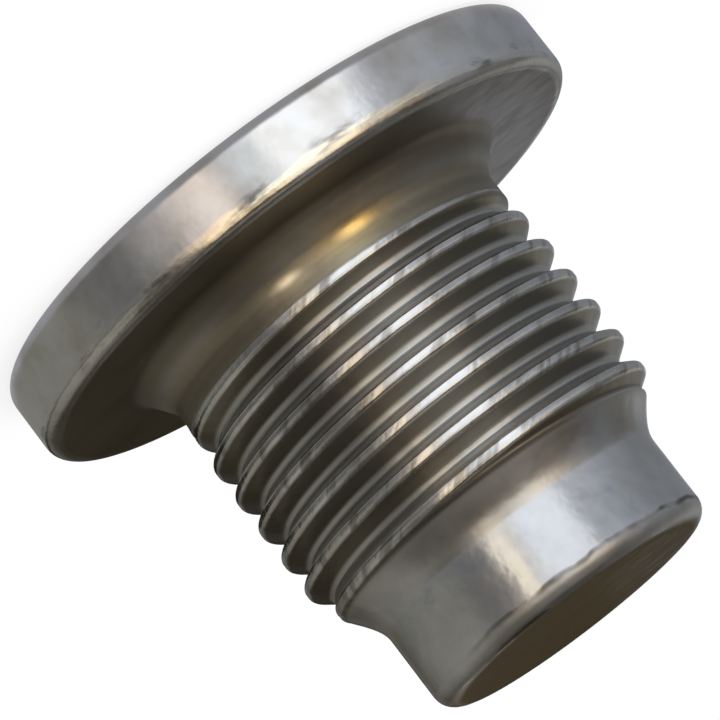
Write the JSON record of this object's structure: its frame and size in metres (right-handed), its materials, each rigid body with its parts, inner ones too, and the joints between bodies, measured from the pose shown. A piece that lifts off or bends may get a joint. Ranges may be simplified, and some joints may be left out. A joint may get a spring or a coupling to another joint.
{
  "type": "oil drain plug",
  "caption": "Flanged oil drain plug with a square drive socket in its round head, a necked threaded shank and a plain pilot tip.",
  "frame": {"origin": "middle of the head's outer face, on which the plug stands", "axes": "+Z along the plug's axis, from the head towards the pilot tip"},
  "size_m": [0.0252, 0.0252, 0.0204],
  "materials": {
    "plated_steel": "bright plated steel, semi-gloss, lightly handled"
  },
  "bodies": {
    "root": {"drain_plug": "plated_steel"}
  },
  "joints": []
}
